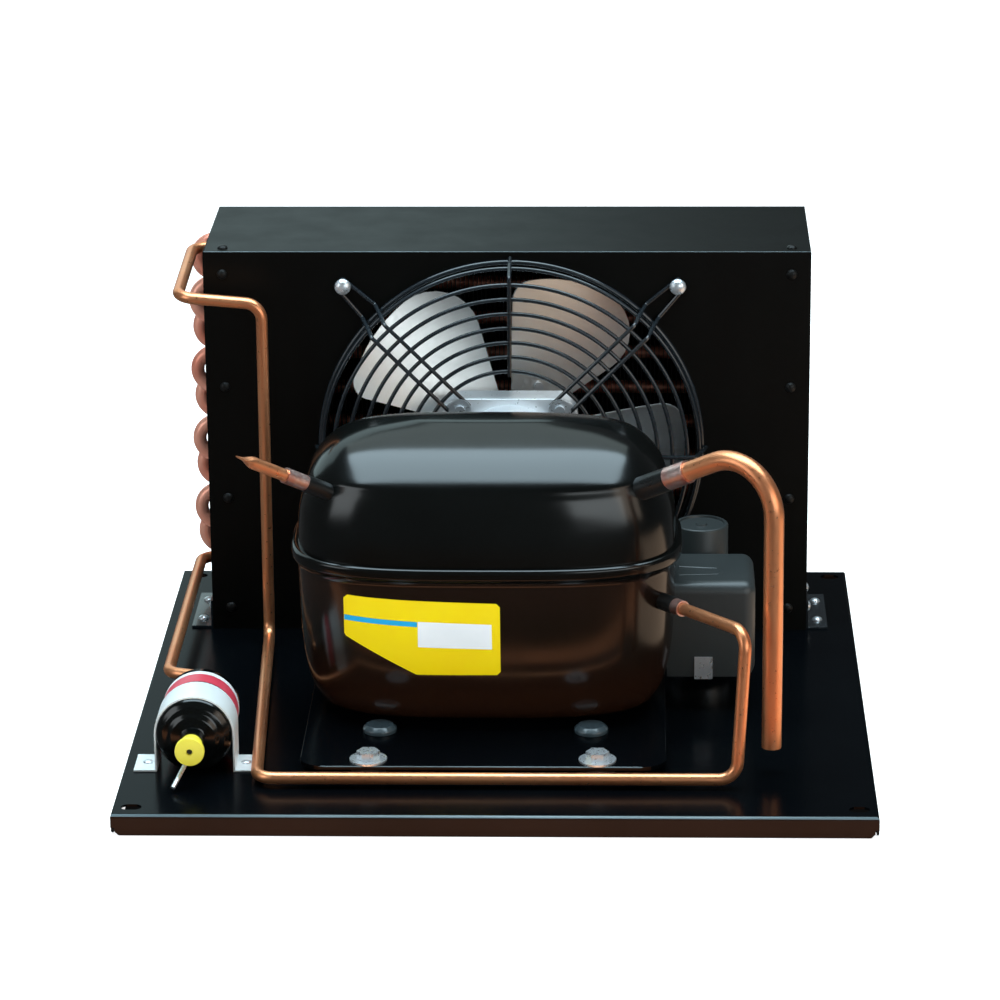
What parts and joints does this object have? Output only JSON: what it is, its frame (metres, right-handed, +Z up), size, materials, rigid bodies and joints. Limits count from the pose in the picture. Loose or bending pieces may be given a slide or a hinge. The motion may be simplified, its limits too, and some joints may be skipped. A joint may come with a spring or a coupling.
{
  "type": "condensing unit",
  "caption": "Air-cooled condensing unit: hermetic compressor, fan-cooled coil in a case, filter drier and copper lines on one base tray.",
  "frame": {"origin": "middle of the base tray's underside", "axes": "+X to the right seen from the compressor side, +Y to the coil at the back, +Z up"},
  "size_m": [0.48, 0.474, 0.2884],
  "materials": {
    "gloss_black_paint": "gloss",
    "satin_black_paint": "satin",
    "zinc_steel": "satin",
    "aluminium": "polished",
    "copper": "satin",
    "rubber": "matte",
    "black_plastic": "satin",
    "yellow_plastic": "satin",
    "desiccant": "matte"
  },
  "bodies": {
    "frame": {"base_tray": "gloss_black_paint", "case_shroud": "satin_black_paint", "side_panel_left": "satin_black_paint", "side_panel_right": "satin_black_paint", "coil_end_plate": "zinc_steel", "coil_fins": "satin_black_paint", "coil_hairpins": "copper", "coil_return_bends": "copper", "case_foot_left": "gloss_black_paint", "case_foot_right": "gloss_black_paint", "foot_screws": "zinc_steel", "shroud_screws": "satin_black_paint", "guard_rings": "gloss_black_paint", "guard_ribs": "gloss_black_paint", "guard_screws": "zinc_steel", "fan_motor": "aluminium", "fan_motor_end": "zinc_steel", "fan_motor_screws": "zinc_steel", "mount_plate": "gloss_black_paint", "mount_grommets": "rubber", "mount_sleeves": "zinc_steel", "mount_bolts": "zinc_steel", "mount_washers": "zinc_steel", "mount_nuts": "zinc_steel", "weld_pads": "gloss_black_paint", "shell_lower": "gloss_black_paint", "shell_upper": "gloss_black_paint", "suction_stub": "gloss_black_paint", "process_stub": "gloss_black_paint", "discharge_stub": "gloss_black_paint", "pump_block": "zinc_steel", "pump_stator": "zinc_steel", "pump_springs": "zinc_steel", "terminal_pins": "zinc_steel", "terminal_fence": "zinc_steel", "start_relay": "black_plastic", "terminal_cover": "black_plastic", "cover_clip": "zinc_steel", "start_capacitor": "black_plastic", "capacitor_bracket": "zinc_steel", "suction_line": "copper", "discharge_line": "copper", "liquid_line": "copper", "process_tube": "copper", "braze_collars": "copper", "filter_drier": "gloss_black_paint", "drier_core": "desiccant", "drier_clamp": "zinc_steel", "clamp_rivets": "zinc_steel", "drier_outlet": "copper", "drier_tail": "copper"},
    "fan": {"fan_shaft": "zinc_steel", "fan_hub": "zinc_steel", "fan_blades": "aluminium", "fan_rivets": "zinc_steel", "fan_nut": "zinc_steel"},
    "crankshaft": {"pump_rotor": "zinc_steel"},
    "cap": {"seal_cap": "yellow_plastic"}
  },
  "joints": [
    {"name": "fan_spin", "type": "hinge", "parent": "frame", "child": "fan", "pos_m": [0.0025, 0.134, 0.148], "axis": [0, -1, 0], "continuous": true},
    {"name": "crankshaft_spin", "type": "hinge", "parent": "frame", "child": "crankshaft", "pos_m": [-0.009, -0.05, 0.1], "axis": [0, 0, 1], "continuous": true},
    {"name": "seal_cap_pull", "type": "slide", "parent": "frame", "child": "cap", "axis": [0, -1, 0], "range_m": [0, 0.018]}
  ]
}
